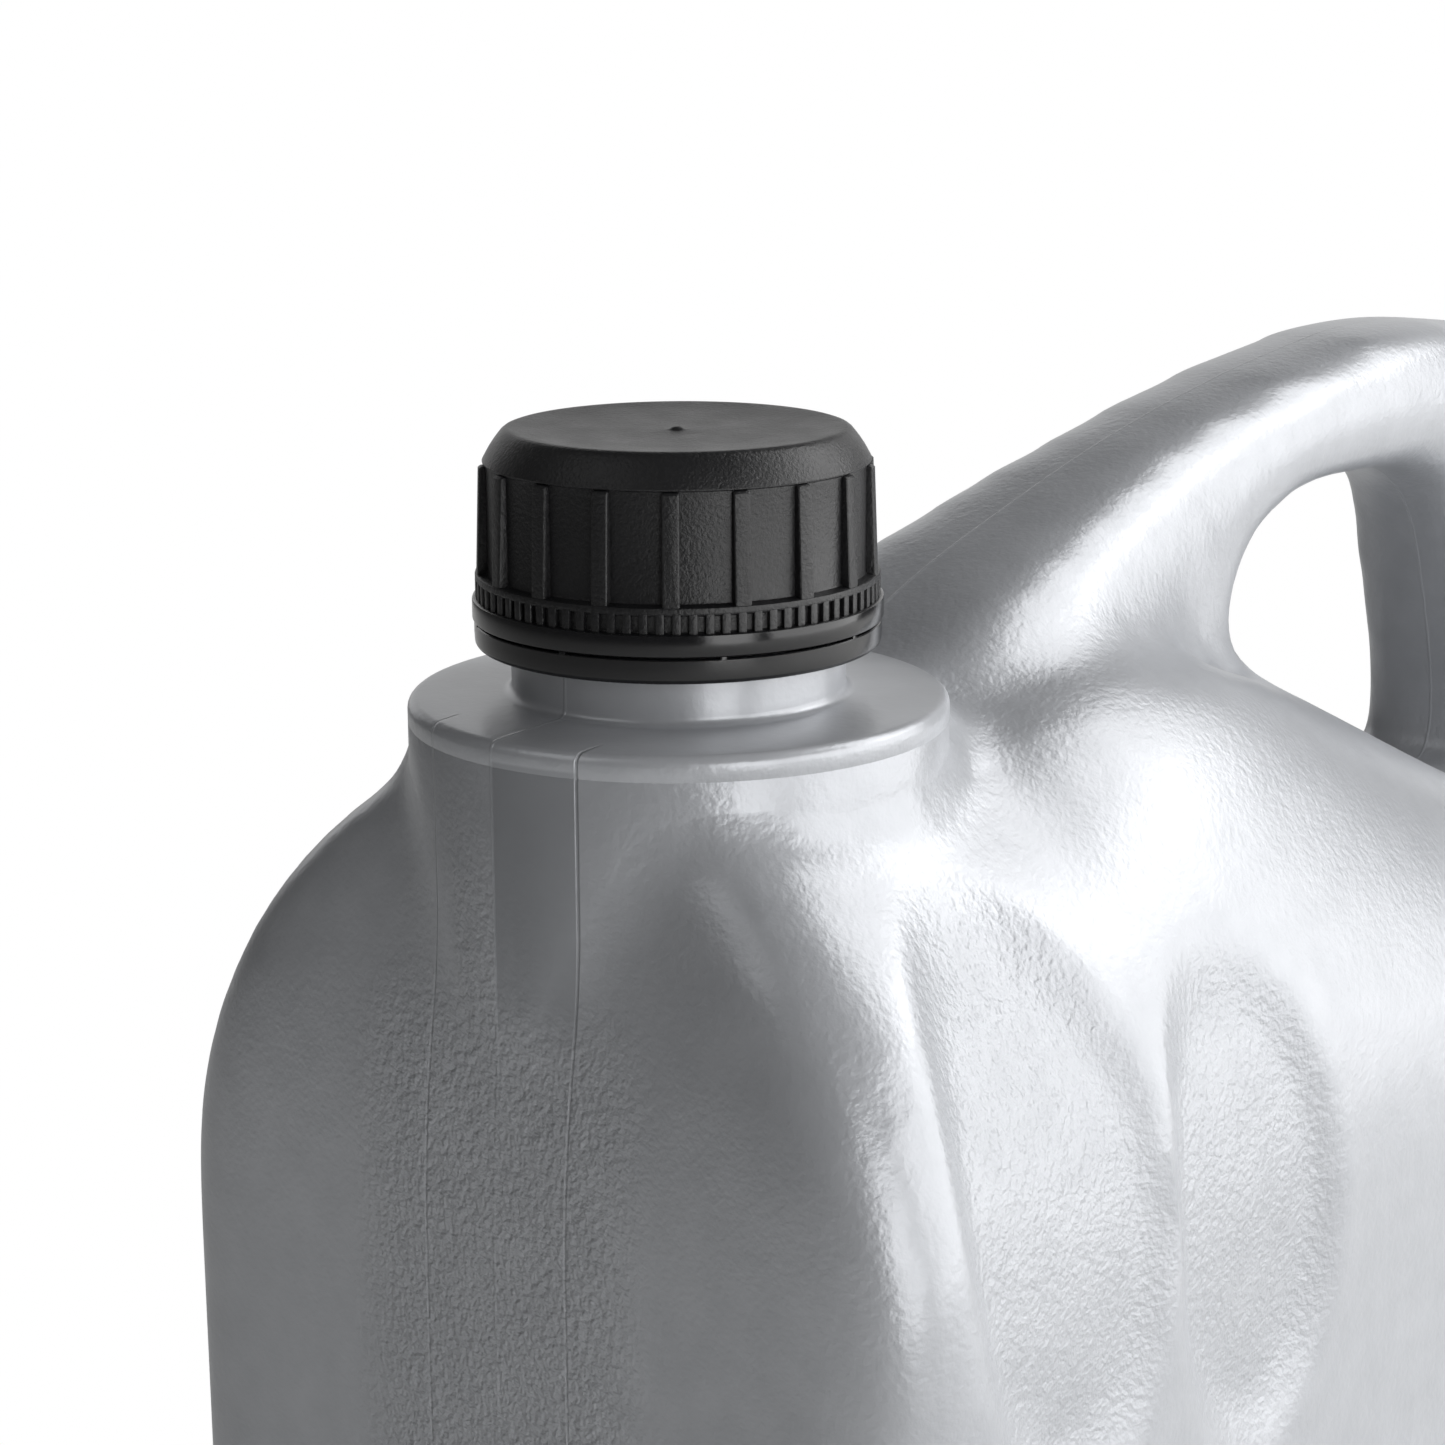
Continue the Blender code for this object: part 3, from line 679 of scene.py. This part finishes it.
# A pale floor, one big soft key on the wide side, a weak fill and a light from behind.
studio = {
    "floorSize": 12.0, "floorDrop": 0.2 * mm, "floorColour": "#F4F4F3",
    "paintedShadowReach": 0.12, "paintedShadowRange": (0.3, 0.98), "world": 0.09,
    "aim": (0.06, 0, 0.2),
    "lights": [   # name, place, width and height, power
        ("key", (0.55, -0.90, 0.45), (1.5, 0.9), 13.0),
        ("high", (0.70, -0.40, 0.95), (0.7, 0.7), 5.5),
        ("corner", (-0.46, -1.00, 0.35), (0.5, 0.7), 4.0),
        ("fill", (-0.80, 0.25, 1.00), (0.6, 0.6), 0.9),
        ("back", (0.85, 0.85, 0.45), (1.8, 0.7), 3.4),
    ],
}


def makeStudio():
    bpy.ops.object.select_all(action="DESELECT")
    bpy.ops.mesh.primitive_plane_add(size=studio["floorSize"], location=(0, 0, -studio["floorDrop"]))
    floor = bpy.context.object
    floor.name = "studioFloor"
    material, tree, shader = newMaterial("paleFloor", Roughness=0.9)
    shader.inputs["Base Color"].default_value = hexColour(studio["floorColour"])
    # An even white sweep that glows for the camera instead of being lit, with a painted shadow, darkened
    # by ambient occlusion, where the bottle stands.
    seen = addNode(tree, "LightPath").outputs["Is Camera Ray"]
    shade = addNode(tree, "AmbientOcclusion", {"Distance": studio["paintedShadowReach"]}, samples=8).outputs["AO"]
    # The glow's strength follows the occlusion: this is the painted contact shadow under the bottle.
    paintedGlow = addNode(tree, "Emission", {"Strength": ramp(tree, shade, *studio["paintedShadowRange"])}).outputs[0]
    mixed = addNode(tree, "MixShader", {0: seen, 1: shader.outputs[0], 2: paintedGlow})
    tree.links.new(mixed.outputs[0], tree.nodes["Material Output"].inputs["Surface"])
    finish(floor, material)

    world = bpy.data.worlds.new("studioWorld")
    world.use_nodes = True
    tree = world.node_tree
    seen = addNode(tree, "LightPath").outputs["Is Camera Ray"]
    strength = calculate(tree, "MAXIMUM", seen, studio["world"])
    tree.links.new(strength, tree.nodes["Background"].inputs["Strength"])
    tree.nodes["Background"].inputs["Color"].default_value = (1, 1, 1, 1)
    bpy.context.scene.world = world

    aim = Vector((neckX, 0, 0)) + Vector(studio["aim"])
    for name, place, size, power in studio["lights"]:
        data = bpy.data.lights.new(name, "AREA")
        data.shape = "RECTANGLE"
        data.size, data.size_y = size
        data.energy = power
        light = bpy.data.objects.new(name, data)
        light.location = place
        light.rotation_euler = (aim - Vector(place)).to_track_quat("-Z", "Y").to_euler()
        bpy.context.scene.collection.objects.link(light)
    bpy.context.scene.view_settings.view_transform = "Standard"


camera = {   # its level distance from the neck and its height above the slit, then angles in degrees
    "distance": 366.0 * mm, "height": 77.5 * mm, "heading": 41.0,
    "yaw": 0.80, "pitch": 13.92, "roll": 0.27, "lens": 79.72, "sensor": 36,
}


def makeCamera():
    heading = math.radians(camera["heading"] - camera["yaw"])
    tilt, roll = math.radians(camera["pitch"]), math.radians(camera["roll"])
    towards = math.radians(camera["heading"])
    away = Vector((math.cos(towards), math.sin(towards), 0))
    level = Vector((math.cos(heading), math.sin(heading), 0))
    right = Vector((level.y, -level.x, 0))
    forward = level * math.cos(tilt) - Vector((0, 0, math.sin(tilt)))
    up = right.cross(forward)
    leanRight = right * math.cos(roll) - up * math.sin(roll)
    leanUp = up * math.cos(roll) + right * math.sin(roll)
    data = bpy.data.cameras.new("camera")
    data.lens = camera["lens"]
    data.sensor_width = camera["sensor"]
    data.clip_start = 0.01
    eye = bpy.data.objects.new("camera", data)
    turn = Matrix((leanRight, leanUp, -forward)).transposed().to_4x4()
    place = Vector((neckX, 0, slitZ)) - away * camera["distance"] + Vector((0, 0, camera["height"]))
    eye.matrix_world = Matrix.Translation(place) @ turn
    bpy.context.scene.collection.objects.link(eye)
    bpy.context.scene.camera = eye


makeStudio()
makeCamera()
print("studio and camera done")
